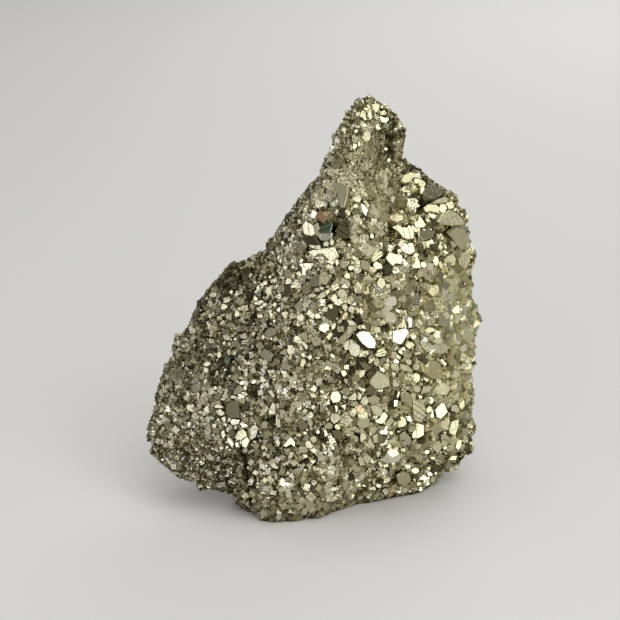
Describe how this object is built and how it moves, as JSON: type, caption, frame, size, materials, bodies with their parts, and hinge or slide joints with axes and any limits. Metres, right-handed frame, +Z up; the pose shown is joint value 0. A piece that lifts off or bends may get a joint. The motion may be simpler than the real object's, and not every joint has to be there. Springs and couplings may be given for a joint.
{
  "type": "pyrite specimen",
  "caption": "Upright tooth-shaped mass of fine intergrown pyrite crystals, pale brass, standing on a flat break.",
  "frame": {"origin": "centre of the bounding box, in the plane of the flat break that it stands on", "axes": "+Z up towards the peak, the shown side faces -Y, the right shoulder is towards +X and the left lobe towards -X"},
  "size_m": [0.0638, 0.0342, 0.0775],
  "materials": {
    "pyrite": "satin"
  },
  "bodies": {
    "root": {"pyrite_specimen": "pyrite"}
  },
  "joints": []
}
